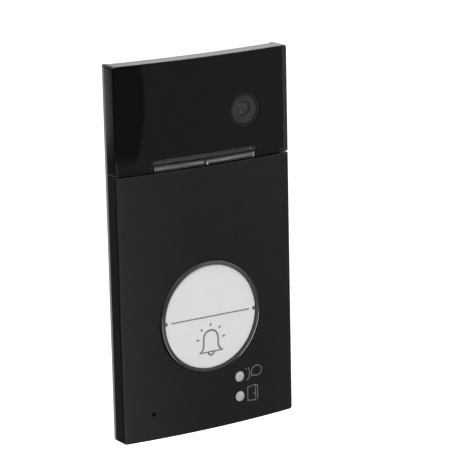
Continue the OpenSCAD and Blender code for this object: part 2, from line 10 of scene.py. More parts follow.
import bmesh
import bpy
from mathutils import Matrix, Vector


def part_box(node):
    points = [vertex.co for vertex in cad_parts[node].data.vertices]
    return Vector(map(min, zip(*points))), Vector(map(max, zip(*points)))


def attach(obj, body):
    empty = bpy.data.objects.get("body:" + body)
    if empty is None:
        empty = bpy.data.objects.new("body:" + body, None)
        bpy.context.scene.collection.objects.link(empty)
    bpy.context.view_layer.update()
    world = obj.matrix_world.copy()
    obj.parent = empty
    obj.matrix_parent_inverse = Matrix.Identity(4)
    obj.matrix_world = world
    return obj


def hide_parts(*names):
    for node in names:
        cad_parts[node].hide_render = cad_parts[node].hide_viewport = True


MM = 0.001

# ---------- the frame ----------

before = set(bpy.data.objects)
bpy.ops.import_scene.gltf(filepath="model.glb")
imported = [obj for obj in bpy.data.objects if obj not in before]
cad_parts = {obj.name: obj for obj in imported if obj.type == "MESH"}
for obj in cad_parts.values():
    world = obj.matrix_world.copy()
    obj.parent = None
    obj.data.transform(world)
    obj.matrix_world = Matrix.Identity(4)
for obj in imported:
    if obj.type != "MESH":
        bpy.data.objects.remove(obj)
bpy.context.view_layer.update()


def span(node):
    """Box of a CAD node in millimetres."""
    low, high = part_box(node)
    return SimpleNamespace(
        left=low.x / MM, right=high.x / MM, low=low.z / MM, high=high.z / MM,
        back=-high.y / MM, front=-low.y / MM,
        x=(low.x + high.x) / 2 / MM, z=(low.z + high.z) / 2 / MM, r=(high.z - low.z) / 2 / MM,
    )


PLATE = span("front_plate")
COVER = span("smoked_cover")
CAP = span("button_cap")
LABEL = span("name_label")
GUIDE = span("light_guide")
COLLAR = span("camera_collar")
BARREL = span("lens_barrel")
GLASS = span("lens_glass")
TALK = span("talk_light_pipe")
DOOR = span("door_light_pipe")
MIC = span("mic_boot")

HALF_W = PLATE.right
CROWN = PLATE.front             # depth of the middle of the front face
BOW = 3.1                       # how far the front face bulges
BOW_R = (HALF_W * HALF_W + BOW * BOW) / (2 * BOW)
CHASSIS_CROWN = CROWN - 6.9     # depth of the middle of the chassis plate
HOLE_R = CAP.r + 0.3            # button opening
STRIP_LEFT = GUIDE.left + 1.2   # ends and nick of the light strip's bar
STRIP_RIGHT = GUIDE.right - 2.1
STRIP_NICK = -0.9
STRIP_BAR_HEIGHT = 2.7
SHARP_ANGLE = 32                # degrees between two faces from which their edge stays sharp


def bow_depth(x, crown):
    """Depth of a bowed face at a sideways place, from the depth of its middle."""
    return crown - BOW_R + math.sqrt(BOW_R * BOW_R - x * x)


# ---------- mesh helpers ----------

def point(x, depth, z):
    return Vector((x, -depth, z)) * MM


def new_object(name, points, faces):
    """Mesh object from (x, depth, z) places, with its faces turned outwards."""
    mesh = bpy.data.meshes.new(name)
    mesh.from_pydata([point(*p) for p in points], [], faces)
    tidy = bmesh.new()
    tidy.from_mesh(mesh)
    bmesh.ops.recalc_face_normals(tidy, faces=tidy.faces)
    tidy.to_mesh(mesh)
    tidy.free()
    piece = bpy.data.objects.new(name, mesh)
    bpy.context.scene.collection.objects.link(piece)
    return piece


def apply_modifiers(piece):
    """Writes what an object's modifiers make into its mesh."""
    graph = bpy.context.evaluated_depsgraph_get()
    mesh = bpy.data.meshes.new_from_object(piece.evaluated_get(graph), depsgraph=graph)
    piece.modifiers.clear()
    piece.data = mesh


def combine(piece, others, operation):
    """Boolean of a piece with others, which are used up."""
    for other in others:
        step = piece.modifiers.new("combine", "BOOLEAN")
        step.object = other
        step.operation = operation
        step.solver = "EXACT"
    apply_modifiers(piece)
    for other in others:
        bpy.data.objects.remove(other)
    return piece


def join(name, pieces):
    """One object out of several."""
    joined = bmesh.new()
    for piece in pieces:
        joined.from_mesh(piece.data)
    mesh = bpy.data.meshes.new(name)
    joined.to_mesh(mesh)
    joined.free()
    for piece in pieces:
        bpy.data.objects.remove(piece)
    made = bpy.data.objects.new(name, mesh)
    bpy.context.scene.collection.objects.link(made)
    return made


def keep_flat(piece):
    """Shades the flat faces as flat ones beside rounded edges."""
    shade = piece.modifiers.new("shade", "WEIGHTED_NORMAL")
    shade.keep_sharp = True


def soften(piece):
    """Writes the modifiers in, then shades smoothly but for sharp edges and flat faces."""
    apply_modifiers(piece)
    piece.data.shade_smooth()
    piece.data.set_sharp_from_angle(angle=math.radians(SHARP_ANGLE))
    keep_flat(piece)
    return piece


def loft(name, loops):
    """Closed solid through a stack of loops with the same number of places."""
    count = len(loops[0])
    points = [p for loop in loops for p in loop]
    faces = [list(range(count)), list(range((len(loops) - 1) * count, len(loops) * count))]
    for i in range(len(loops) - 1):
        for j in range(count):
            k = (j + 1) % count
            a, b = i * count, (i + 1) * count
            faces.append([a + j, a + k, b + k, b + j])
    return new_object(name, points, faces)


def on_bow(offset):
    """Depth rule for places that follow the bowed front face, that far outside it."""
    def depth(x):
        return bow_depth(x, CROWN) + offset

    return depth


def turned(name, x, z, outline, steps=96):
    """Round piece: a closed outline of (radius, depth) turned about a line square to the wall.

    A depth is a number, or a depth rule when that ring follows a bowed face.
    """
    points, rings = [], []
    for radius, depth in outline:
        steps_here = steps if radius > 0 else 1
        rings.append((len(points), steps_here))
        for i in range(steps_here):
            a = 2 * math.pi * i / steps
            px, pz = x + radius * math.cos(a), z + radius * math.sin(a)
            points.append((px, depth(px) if callable(depth) else depth, pz))
    faces = []
    for (a, count_a), (b, count_b) in zip(rings, rings[1:] + rings[:1]):
        for i in range(steps if max(count_a, count_b) > 1 else 0):
            k = (i + 1) % steps
            if count_a == 1:
                faces.append([a, b + i, b + k])
            elif count_b == 1:
                faces.append([a + i, b, a + k])
            else:
                faces.append([a + i, a + k, b + k, b + i])
    return new_object(name, points, faces)


def box_piece(name, left, right, front, back, low, high):
    """Rectangular block, used as a cutter or as part of a larger piece."""
    outline = [(left, front), (right, front), (right, back), (left, back)]
    return loft(name, [[(x, depth, z) for x, depth in outline] for z in (low, high)])


def quarter(cx, cy, r, start, end, steps):
    """Places along an arc, as pairs."""
    turns = [math.radians(start + (end - start) * i / steps) for i in range(steps + 1)]
    return [(cx + r * math.cos(t), cy + r * math.sin(t)) for t in turns]


def curve(a, b, c, d, steps=10):
    """Places along a cubic curve, without its last."""
    made = []
    for i in range(steps):
        t = i / steps
        w = ((1 - t) ** 3, 3 * t * (1 - t) ** 2, 3 * t * t * (1 - t), t ** 3)
        made.append(tuple(w[0] * a[k] + w[1] * b[k] + w[2] * c[k] + w[3] * d[k] for k in (0, 1)))
    return made


def stroke(name, places, width, face, lift, closed=False):
    """Printed line of even width with round ends, standing a little proud of a face."""
    count = len(places)
    half = width / 2
    rows = []
    for i, (x, z) in enumerate(places):
        before = places[i - 1] if i or closed else None
        after = places[(i + 1) % count] if i < count - 1 or closed else None
        way_in = Vector((x - before[0], z - before[1])).normalized() if before else None
        way_out = Vector((after[0] - x, after[1] - z)).normalized() if after else None
        way = ((way_in or way_out) + (way_out or way_in)).normalized()
        stretch = 1 / max(0.5, way.dot(way_out or way_in))
        rows.append((Vector((x, z)), Vector((-way.y, way.x)) * half * stretch, way))
    if not closed:
        bends = [math.radians(a) for a in (80, 55, 28)]
        first, last = rows[0], rows[-1]
        start = [(first[0] - first[2] * half * math.sin(a), first[1] * math.cos(a)) for a in bends]
        end = [(last[0] + last[2] * half * math.sin(a), last[1] * math.cos(a)) for a in bends]
        rows = start + [row[:2] for row in rows] + end[::-1]
    else:
        rows = [row[:2] for row in rows]
    points = []
    for middle, side in rows:
        for place, rise in ((middle + side, lift), (middle - side, lift),
                            (middle - side, -lift), (middle + side, -lift)):
            points.append((place.x, face(place.x) + rise, place.y))
    faces = []
    for i in range(len(rows) - (0 if closed else 1)):
        a, b = i * 4, (i + 1) % len(rows) * 4
        faces += [[a + j, a + (j + 1) % 4, b + (j + 1) % 4, b + j] for j in range(4)]
    if not closed:
        end = (len(rows) - 1) * 4
        faces += [[0, 1, 2, 3], [end, end + 1, end + 2, end + 3]]
    return new_object(name, points, faces)


def finish_piece(piece, finishes, body, slot, *nodes):
    """Gives a new piece its materials and its body, and hides the CAD nodes it stands for. The slot is not
    used.
    """
    piece.data.materials.clear()
    for finish in finishes:
        piece.data.materials.append(FINISHES[finish])
    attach(piece, body)
    if nodes:
        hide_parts(*nodes)


# ---------- shader helpers ----------

class Recipe:
    """Adds shader nodes to a material or to the world."""

    def __init__(self, owner):
        owner.use_nodes = True
        self.owner = owner
        self.tree = owner.node_tree
        self.tree.nodes.clear()
        self.spaces = self.add("TexCoord").outputs
        self.place = self.spaces["Object"]

    def add(self, kind, inputs=None, **settings):
        node = self.tree.nodes.new("ShaderNode" + kind)
        for key, value in settings.items():
            setattr(node, key, value)
        for key, value in (inputs or {}).items():
            if isinstance(value, bpy.types.NodeSocket):
                self.tree.links.new(value, node.inputs[key])
            else:
                node.inputs[key].default_value = value
        return node

    def noise(self, size, detail=3.0, roughness=0.5):
        """Cloudy pattern whose features are about that many millimetres."""
        inputs = {"Vector": self.place, "Scale": 1 / (size * MM)}
        inputs.update({"Detail": detail, "Roughness": roughness})
        return self.add("TexNoise", inputs).outputs["Fac"]

    def cells(self, size):
        """Distance from the nearest of many scattered spots, about that many millimetres apart."""
        inputs = {"Vector": self.place, "Scale": 1 / (size * MM)}
        return self.add("TexVoronoi", inputs, feature="F1").outputs["Distance"]

    def stretched(self, sizes, detail=2.0):
        """Noise whose features are that many millimetres along x, y and z."""
        scale = self.add("Mapping", {"Vector": self.place, "Scale": [1 / (s * MM) for s in sizes]})
        inputs = {"Vector": scale.outputs[0], "Scale": 1.0, "Detail": detail}
        return self.add("TexNoise", inputs).outputs["Fac"]

    def remap(self, value, low, high, to_low=0.0, to_high=1.0, smooth=False):
        inputs = {0: value, 1: low, 2: high, 3: to_low, 4: to_high}
        kind = "SMOOTHSTEP" if smooth else "LINEAR"
        return self.add("MapRange", inputs, interpolation_type=kind).outputs[0]

    def math(self, operation, a, b=0.0):
        return self.add("Math", {0: a, 1: b}, operation=operation).outputs[0]

    def blend(self, share, a, b):
        return self.add("Mix", {0: share, 6: a, 7: b}, data_type="RGBA").outputs[2]

    def bump(self, height, depth):
        inputs = {"Height": height, "Strength": 1.0, "Distance": depth * MM}
        return self.add("Bump", inputs).outputs["Normal"]

    def edges(self, radius):
        """One along edges and corners, zero on open faces."""
        rounded = self.add("Bevel", {"Radius": radius * MM}, samples=4).outputs["Normal"]
        plain = self.add("NewGeometry").outputs["Normal"]
        dot = self.add("VectorMath", {0: rounded, 1: plain}, operation="DOT_PRODUCT").outputs["Value"]
        return self.remap(dot, 0.995, 0.9)

    def radius(self, x, z):
        """Distance in millimetres from a line square to the wall."""
        away = self.add("VectorMath", {0: self.place, 1: point(x, 0, z)}, operation="SUBTRACT").outputs[0]
        flat = self.add("VectorMath", {0: away, 1: Vector((1 / MM, 0, 1 / MM))}, operation="MULTIPLY")
        return self.add("VectorMath", {0: flat.outputs[0]}, operation="LENGTH").outputs["Value"]

    def rings(self, x, z, pitch):
        """Ripples around a line square to the wall, from 0 to 1."""
        turn = self.math("MULTIPLY", self.radius(x, z), 2 * math.pi / pitch)
        return self.remap(self.math("SINE", turn), -1.0, 1.0)

    def finish(self, shader):
        kind = "OutputWorld" if isinstance(self.owner, bpy.types.World) else "OutputMaterial"
        self.add(kind, {"Surface": shader.outputs[0]})
        return self.owner


def new_material(name):
    return Recipe(bpy.data.materials.new(name))


def rgb(*levels):
    """Colour with its alpha, from one grey level or three."""
    return (*(levels * 3)[:3], 1.0)


def scaled(colour, factor):
    return (*(min(1.0, c * factor) for c in colour[:3]), 1.0)


def moulded(name, colour, roughness, grain=0.35, depth=0.012, mottle=0.2, wear_and_sheen=0.25, specular=0.5):
    """Plastic, rubber, paint or metal with a fine grain, cloudy colour and lighter edges: part worn, part
    painted highlight.
    """
    r = new_material(name)
    fine = r.noise(grain)
    broad = r.noise(grain * 28, 4.0)
    cloudy = r.blend(r.remap(broad, 0.3, 0.7), scaled(colour, 1 - mottle), scaled(colour, 1 + mottle))
    speckled = r.blend(r.remap(fine, 0.35, 0.65, 0.0, 0.5), cloudy, scaled(colour, 1 + 2 * mottle))
    base = speckled
    if wear_and_sheen:
        # Lighter edges: partly worn, partly a painted highlight of the light that the rounded edges catch.
        rubbed_and_sheen = r.math("MULTIPLY", r.edges(0.25), r.remap(r.noise(grain * 9), 0.42, 0.62, 0.0, wear_and_sheen))
        base = r.blend(rubbed_and_sheen, speckled, scaled(colour, 2.4))
    inputs = {
        "Base Color": base,
        "Roughness": r.remap(broad, 0.25, 0.75, roughness - 0.06, roughness + 0.07),
        "Specular IOR Level": specular,
        "Normal": r.bump(fine, depth),
    }
    return r.finish(r.add("BsdfPrincipled", inputs))


def powder_coat(name, level, specular):
    """Matt black powder coat: fine orange-peel grain over a dark grey, lighter at the edges: part worn,
    part painted highlight.
    """
    colour = rgb(level)
    r = new_material(name)
    grain = r.noise(0.55, 2.0, 0.6)
    flakes = r.cells(0.9)
    broad = r.noise(14, 3.0)
    fibres = r.stretched((1.3, 1.3, 3.5))
    height = r.math("ADD", grain, r.math("MULTIPLY", flakes, 0.5))
    cloudy = r.blend(r.remap(broad, 0.3, 0.7), scaled(colour, 0.86), scaled(colour, 1.14))
    mottled = r.blend(r.remap(fibres, 0.4, 0.7, 0.0, 0.4), cloudy, scaled(colour, 1.9))
    # Lighter edges: partly worn, partly a painted highlight of the light that the rounded edges catch.
    rubbed_and_sheen = r.math("MULTIPLY", r.edges(0.3), r.remap(r.noise(3.0), 0.4, 0.65, 0.0, 0.2))
    inputs = {
        "Base Color": r.blend(rubbed_and_sheen, mottled, scaled(colour, 2.0)),
        "Roughness": r.remap(grain, 0.3, 0.7, 0.32, 0.46),
        "Specular IOR Level": specular,
        "Normal": r.bump(height, 0.022),
    }
    return r.finish(r.add("BsdfPrincipled", inputs))


def clear_plastic(name, tint, roughness, haze, scratch=0.002):
    """Polished plastic that is seen through: a tinted look through it under a glossy face."""
    r = new_material(name)
    inside = r.add("NewGeometry").outputs["Backfacing"]
    smears = r.noise(9.0, 4.0)
    normal = r.bump(r.stretched((6.0, 6.0, 0.4)), scratch)
    smeared = r.remap(smears, 0.3, 0.7, roughness, roughness * 1.6)
    gloss = r.add("BsdfAnisotropic", {"Color": rgb(1.0), "Roughness": smeared, "Normal": normal})
    through = r.add("BsdfTransparent", {"Color": tint})
    dust = r.add("BsdfDiffuse", {"Color": rgb(0.75)})
    hazed = r.remap(r.noise(0.7, 2.0), 0.66, 0.8, haze * 0.4, haze * 6)
    body = r.add("MixShader", {0: hazed, 1: through.outputs[0], 2: dust.outputs[0]})
    fresnel = r.add("Fresnel", {"IOR": 1.49}).outputs[0]
    outer = r.math("MULTIPLY", fresnel, r.math("SUBTRACT", 1.0, inside))
    return r.finish(r.add("MixShader", {0: outer, 1: body.outputs[0], 2: gloss.outputs[0]}))


def paper_label():
    """White printed film with the faintest fibre and cloud."""
    r = new_material("label_film")
    fibre = r.noise(0.25, 3.0)
    tone = r.blend(r.remap(r.noise(8.0), 0.3, 0.7), rgb(0.81, 0.807, 0.82), rgb(0.845, 0.841, 0.85))
    inputs = {
        "Base Color": tone,
        "Roughness": r.remap(fibre, 0.3, 0.7, 0.45, 0.6),
        "Normal": r.bump(fibre, 0.004),
    }
    return r.finish(r.add("BsdfPrincipled", inputs))


def ink(name, colour):
    """Screen-printed ink with a slightly uneven coat."""
    r = new_material(name)
    uneven = r.noise(0.3, 2.0)
    inputs = {
        "Base Color": r.blend(r.remap(uneven, 0.3, 0.7), scaled(colour, 0.85), scaled(colour, 1.12)),
        "Roughness": r.remap(uneven, 0.3, 0.7, 0.4, 0.6),
        "Normal": r.bump(uneven, 0.004),
    }
    return r.finish(r.add("BsdfPrincipled", inputs))


def milky(name, colour, glow):
    """Light-scattering plastic, lit faintly from behind."""
    r = new_material(name)
    cloud = r.noise(0.8, 3.0)
    inputs = {
        "Base Color": r.blend(r.remap(cloud, 0.3, 0.7), scaled(colour, 0.93), scaled(colour, 1.05)),
        "Roughness": r.remap(r.noise(0.3), 0.3, 0.7, 0.22, 0.36),
        "Emission Color": colour,
        "Emission Strength": glow,
        "Normal": r.bump(cloud, 0.004),
    }
    return r.finish(r.add("BsdfPrincipled", inputs))


def steel(name, colour=rgb(0.55, 0.56, 0.57), roughness=0.34, spangle=4.0):
    """Zinc-plated steel: faint crystals, fine drawing lines and lighter edges: part scuffed, part painted
    highlight.
    """
    r = new_material(name)
    crystals = r.cells(spangle)
    lines = r.stretched((0.25, 3.0, 3.0))
    cloudy = r.blend(r.remap(crystals, 0.1, 0.8), scaled(colour, 0.82), scaled(colour, 1.1))
    # Lighter edges: partly scuffed, partly a painted highlight of the light that the rounded edges catch.
    scuffs_and_sheen = r.math("MULTIPLY", r.edges(0.3), r.remap(r.noise(1.5), 0.35, 0.6, 0.2, 0.8))
    uneven = r.math("ADD", crystals, lines)
    inputs = {
        "Base Color": r.blend(scuffs_and_sheen, cloudy, scaled(colour, 1.35)),
        "Metallic": 1.0,
        "Roughness": r.remap(uneven, 0.4, 1.3, roughness - 0.08, roughness + 0.14),
        "Normal": r.bump(lines, 0.006),
    }
    return r.finish(r.add("BsdfPrincipled", inputs))


def foam():
    """Black closed-cell foam."""
    r = new_material("foam_strip")
    pores = r.cells(0.45)
    inputs = {
        "Base Color": r.blend(r.remap(pores, 0.0, 0.6), rgb(0.012), rgb(0.05)),
        "Roughness": r.remap(pores, 0.0, 0.6, 0.95, 0.75),
        "Normal": r.bump(pores, 0.15),
    }
    return r.finish(r.add("BsdfPrincipled", inputs))


def board(name, mask, copper):
    """Circuit board: solder mask over copper tracks, with tinned pads showing here and there."""
    r = new_material(name)
    bricks = {
        "Vector": r.place, "Scale": 420.0, "Mortar Size": 0.03,
        "Color1": rgb(0.0), "Color2": rgb(1.0),
    }
    tracks = r.remap(r.add("TexBrick", bricks).outputs["Fac"], 0.0, 1.0)
    pads = r.remap(r.cells(2.1), 0.12, 0.08)
    tone = r.blend(r.math("MULTIPLY", tracks, 0.8), mask, copper)
    inputs = {
        "Base Color": r.blend(r.math("MULTIPLY", pads, 0.8), tone, rgb(0.55, 0.52, 0.42)),
        "Metallic": r.math("MULTIPLY", pads, 0.7),
        "Roughness": r.remap(r.noise(0.6), 0.3, 0.7, 0.24, 0.4),
        "Normal": r.bump(tracks, 0.02),
    }
    return r.finish(r.add("BsdfPrincipled", inputs))


def coated_glass():
    """Front lens: smoky coated glass with faint element rings and a small pinkish painted reflection in its
    middle.
    """
    r = new_material("coated_glass")
    reach = r.radius(GLASS.x, GLASS.z)
    # Painted reflection: a small, lighter pinkish spot in the middle of the lens.
    painted_reflection = r.remap(reach, 0.75, 1.15, 1.0, 0.0, smooth=True)
    element = r.blend(r.rings(GLASS.x, GLASS.z, 1.35), rgb(0.2), rgb(0.28, 0.275, 0.275))
    inputs = {
        "Base Color": r.blend(painted_reflection, element, rgb(0.3, 0.275, 0.275)),
        "Roughness": r.remap(r.noise(1.5), 0.3, 0.7, 0.06, 0.12),
        "Coat Weight": 0.5,
        "Coat Roughness": 0.02,
        "Coat Tint": rgb(0.9, 0.8, 1.0),
    }
    return r.finish(r.add("BsdfPrincipled", inputs))


def turned_plastic(name, x, z, colour, roughness):
    """Lathe-turned black plastic with fine concentric marks."""
    r = new_material(name)
    marks = r.rings(x, z, 0.55)
    cloud = r.noise(1.2, 3.0)
    inputs = {
        "Base Color": r.blend(marks, scaled(colour, 0.88), scaled(colour, 1.1)),
        "Roughness": r.remap(cloud, 0.3, 0.7, roughness - 0.06, roughness + 0.08),
        "Normal": r.bump(marks, 0.01),
    }
    return r.finish(r.add("BsdfPrincipled", inputs))


def frosted_guide():
    """Frosted light guide: a dark bar with a streaky band of painted glow, painted shade at its nick, a
    painted glint beside the nick and a painted highlight at its right end, under a cloudy white flange with
    a painted highlight at its right end and painted shade at its left end.
    """
    r = new_material("frosted_guide")
    sides, _, height = r.add("SeparateXYZ", {0: r.place}).outputs
    height = r.math("SUBTRACT", r.math("MULTIPLY", height, 1 / MM), GUIDE.low)
    sides = r.math("MULTIPLY", sides, 1 / MM)
    from_nick = r.math("ABSOLUTE", r.math("SUBTRACT", sides, STRIP_NICK))
    from_spot = r.math("ABSOLUTE", r.math("SUBTRACT", sides, STRIP_NICK + 1.15))
    from_end = r.math("ABSOLUTE", r.math("SUBTRACT", sides, STRIP_RIGHT - 0.6))
    streaks = r.remap(r.stretched((18.0, 4.0, 0.32), 1.0), 0.42, 0.6, 0.3, 1.35)
    # Painted glow: a pale streaky band along the bar stands for the light carried by the guide.
    lit = r.math("MULTIPLY", r.remap(height, 0.7, 0.95), r.remap(height, 1.8, 2.05, 1.0, 0.2))
    lit = r.math("MULTIPLY", lit, streaks)
    # Painted shade in the nick.
    lit = r.math("MULTIPLY", lit, r.remap(from_nick, 0.5, 0.9, 0.15, 1.0))
    # Painted glint just right of the nick.
    painted_glint = r.math("MULTIPLY", r.remap(from_spot, 0.25, 0.55, 1.0, 0.0), r.remap(height, 0.9, 1.4, 2.4, 0.0))
    lit = r.math("MAXIMUM", lit, painted_glint)
    # Painted highlight at the bar's right end.
    lit = r.math("MAXIMUM", lit, r.remap(from_end, 0.15, 0.4, 1.9, 0.0))
    bar = r.blend(r.math("MULTIPLY", lit, 0.36), rgb(0.024, 0.023, 0.022), rgb(0.45, 0.41, 0.4))
    cloud = r.remap(r.stretched((5.0, 4.0, 0.5)), 0.35, 0.65)
    flange = r.blend(cloud, rgb(0.24, 0.238, 0.222), rgb(0.46, 0.45, 0.42))
    # Painted highlight at the flange's right end.
    flange = r.blend(r.remap(from_end, 0.15, 0.4, 0.9, 0.0), flange, rgb(0.95, 0.93, 0.9))
    # Painted shade at the flange's left end.
    flange = r.blend(r.remap(sides, GUIDE.left + 1.6, GUIDE.left + 2.2), rgb(0.03), flange)
    inputs = {
        "Base Color": r.blend(r.math("GREATER_THAN", height, STRIP_BAR_HEIGHT + 0.05), bar, flange),
        "Roughness": r.remap(r.noise(0.5), 0.3, 0.7, 0.15, 0.3),
        "Normal": r.bump(r.stretched((8.0, 4.0, 0.35)), 0.02),
    }
    return r.finish(r.add("BsdfPrincipled", inputs))


def striped_film():
    """Flat cable: amber film over parallel copper tracks."""
    r = new_material("flat_cable_film")
    bands = {"Vector": r.place, "Scale": 3100.0, "Distortion": 0.0}
    stripe = r.add("TexWave", bands, bands_direction="X").outputs["Fac"]
    inputs = {
        "Base Color": r.blend(r.remap(stripe, 0.35, 0.65), rgb(0.36, 0.15, 0.03), rgb(0.6, 0.3, 0.09)),
        "Roughness": r.remap(r.noise(1.0), 0.3, 0.7, 0.28, 0.42),
        "Normal": r.bump(stripe, 0.02),
    }
    return r.finish(r.add("BsdfPrincipled", inputs))


def frosted_edge():
    """Ground edge of the cap: grey, half clear, with turning marks, a dark ring of painted shade and a pale
    lip of painted highlight.
    """
    r = new_material("frosted_edge")
    marks = r.noise(0.35, 3.0)
    depth_in = r.math("SUBTRACT", CAP.r, r.radius(CAP.x, CAP.z))
    plain = r.blend(r.remap(marks, 0.3, 0.7), rgb(0.048, 0.045, 0.05), rgb(0.067, 0.063, 0.069))
    # Painted shade: a dark ring within about a millimetre of the rim.
    painted_shade_ring = r.blend(r.remap(depth_in, 0.85, 1.1, smooth=True), rgb(0.024), plain)
    # Painted highlight: a pale lip at the outer edge.
    painted_highlight_lip = r.blend(r.remap(depth_in, 0.4, 0.6, smooth=True), rgb(0.09, 0.087, 0.09), painted_shade_ring)
    inputs = {
        "Base Color": painted_highlight_lip,
        "Roughness": r.remap(marks, 0.3, 0.7, 0.12, 0.24),
        "Coat Weight": 0.6,
        "Coat Roughness": 0.05,
        "Normal": r.bump(marks, 0.004),
    }
    return r.finish(r.add("BsdfPrincipled", inputs))


# The material of every slot of the record, then further looks that single pieces take instead.
FINISHES = {
    "zinc_steel": steel("zinc_plate"),
    "foam": foam(),
    "black_abs": moulded("textured_abs", rgb(0.018, 0.018, 0.019), 0.46, grain=0.4, depth=0.02),
    "rubber_black": moulded("black_rubber", rgb(0.02), 0.72, grain=0.6, depth=0.03, wear_and_sheen=0.1),
    "black_cast_metal": powder_coat("powder_coat", 0.005, 0.34),
    "smoked_acrylic": clear_plastic("smoked_plastic", rgb(0.62, 0.62, 0.63), 0.012, 0.0012, 0.0006),
    "clear_acrylic": frosted_guide(),
    "circuit_board_white": board("white_board", rgb(0.72, 0.72, 0.7), rgb(0.6, 0.6, 0.56)),
    "lamp_chip": milky("lamp_chip_body", rgb(0.85, 0.8, 0.5), 0.05),
    "circuit_board": board("green_board", rgb(0.012, 0.07, 0.03), rgb(0.03, 0.14, 0.05)),
    "chip_black": moulded("chip_epoxy", rgb(0.022), 0.55, grain=0.2, depth=0.01),
    "black_anodised": moulded("anodised_black", rgb(0.05, 0.05, 0.052), 0.38, grain=0.15, depth=0.006),
    "lens_glass": coated_glass(),
    "flat_cable": striped_film(),
    "ivory_nylon": moulded("ivory_plastic", rgb(0.72, 0.68, 0.55), 0.5, mottle=0.05),
    "capacitor_can": steel("drawn_can", rgb(0.6, 0.61, 0.63), 0.26, 9.0),
    "green_nylon": moulded("green_plastic", rgb(0.03, 0.24, 0.1), 0.42, mottle=0.1),
    "milky_acrylic": milky("milky_rod", rgb(0.43, 0.43, 0.426), 0.0),
    "speaker_dish": moulded("dish_film", rgb(0.03), 0.5, grain=0.9, depth=0.03),
    "magnet_steel": steel("nickel_plate", rgb(0.5, 0.49, 0.47), 0.3, 12.0),
    "wire_red": moulded("wire_jacket", rgb(0.45, 0.02, 0.02), 0.4, mottle=0.08),
    "clear_cap": clear_plastic("clear_cap_plastic", rgb(0.965, 0.97, 0.97), 0.02, 0.004),
    "label_white": paper_label(),
    "gray_abs": moulded("grey_abs", rgb(0.13, 0.13, 0.132), 0.42, mottle=0.08),
    "spring_steel": steel("spring_wire", rgb(0.6, 0.6, 0.6), 0.25, 6.0),

    # Painted shade: a darker, less shiny copy of the powder coat for the plate's side faces.
    "cast_side_painted_shade": powder_coat("powder_coat_side_painted_shade", 0.003, 0.03),
    "smoked_side": clear_plastic("smoked_edge", rgb(0.03), 0.012, 0.0012, 0.0006),
    "satin_abs": moulded("satin_abs", rgb(0.012), 0.15, grain=0.5, depth=0.003, wear_and_sheen=0.1),
    "mask_print": moulded("mask_print", rgb(0.005), 0.6, wear_and_sheen=0.0, specular=0.2),
    "shroud_rubber": turned_plastic("shroud_rubber", COLLAR.x, COLLAR.z, rgb(0.046), 0.6),
    "barrel_black": turned_plastic("barrel_black", COLLAR.x, COLLAR.z, rgb(0.2), 0.42),
    "frosted_edge": frosted_edge(),
    "cap_edge": moulded("cap_edge", rgb(0.028), 0.1, grain=0.3, depth=0.002, wear_and_sheen=0.0),
    "grey_ink": ink("grey_ink", rgb(0.19, 0.19, 0.195)),
    "pale_ink": ink("pale_ink", rgb(0.21)),
}


# ---------- panel pieces ----------

BOW_STEPS = 72                  # facets across a bowed face
ARC_STEPS = 6                   # facets round a rounded edge
EDGE_R = 1.0                    # rounded side edges of a front piece, as seen from above
FACE_R = 0.3                    # rounded edges between its face and its ends
OUTER_R, SEAM_R = 1.3, 0.5      # its rounded corners at the panel's end and at the seam
PLATE_WALL = 2.0
COVER_WALL, COVER_SIDE = 2.0, 1.3
MASK_GAP, MASK_WALL = 0.02, 0.22
WINDOW_R = 2.51                 # round holes in the plate
MIC_R = 0.95
BEHIND, BEYOND = 5.0, 30.0      # depths behind and in front of both front pieces, for cutters
HOLE_BACK = 10.0                # depth at which the cutters of round holes start


def panel_outline(side, shrink, edge_r):
    """Plan of a front piece at one height: bowed front, rounded side edges, bowed back."""
    r = BOW_R - shrink
    corner_x = side - edge_r
    corner_depth = CROWN - BOW_R + math.sqrt((r - edge_r) ** 2 - corner_x ** 2)
    reach = math.asin(corner_x / (r - edge_r))
    front = []
    for i in range(1, BOW_STEPS):
        a = reach * (2 * i / BOW_STEPS - 1)
        front.append((r * math.sin(a), CROWN - BOW_R + r * math.cos(a)))
    turn = 90 - math.degrees(reach)
    left = quarter(-corner_x, corner_depth, edge_r, 180, 180 - turn, ARC_STEPS)
    right = quarter(corner_x, corner_depth, edge_r, turn, 0, ARC_STEPS)
    back = []
    for i in range(BOW_STEPS + 1):
        x = side * (1 - 2 * i / BOW_STEPS)
        back.append((x, bow_depth(x, CHASSIS_CROWN)))
    return left + front + right + back


def end_steps(side_r):
    """Heights from an end, with how far the sides and the face draw in there."""
    turns = [math.radians(90 * i / ARC_STEPS) for i in range(ARC_STEPS + 1)]
    heights = {round(r * (1 - math.sin(t)), 4) for r in (side_r, FACE_R) for t in turns}

    def drawn_in(r, height):
        return r - math.sqrt(max(0.0, r * r - (r - height) ** 2)) if height < r else 0.0

    return [(h, drawn_in(side_r, h), drawn_in(FACE_R, h)) for h in sorted(heights)]


def panel_block(name, low, high, low_side_r, high_side_r):
    """Solid bowed block with rounded ends."""
    loops = []
    for h, side_in, face_in in end_steps(low_side_r):
        outline = panel_outline(HALF_W - side_in, face_in, EDGE_R)
        loops.append([(x, depth, low + h) for x, depth in outline])
    for h, side_in, face_in in reversed(end_steps(high_side_r)):
        outline = panel_outline(HALF_W - side_in, face_in, EDGE_R)
        loops.append([(x, depth, high - h) for x, depth in outline])
    return loft(name, loops)


def panel_hollow(name, low, high, wall, side):
    """What is taken out of a panel block to leave a shell that is open at its back."""
    outline = panel_outline(HALF_W - side, wall, EDGE_R / 2)
    front_count = len(outline) - (BOW_STEPS + 1)
    outline = outline[:front_count] + [(HALF_W - side, BEHIND), (side - HALF_W, BEHIND)]
    return loft(name, [[(x, depth, z) for x, depth in outline] for z in (low + side, high - side)])


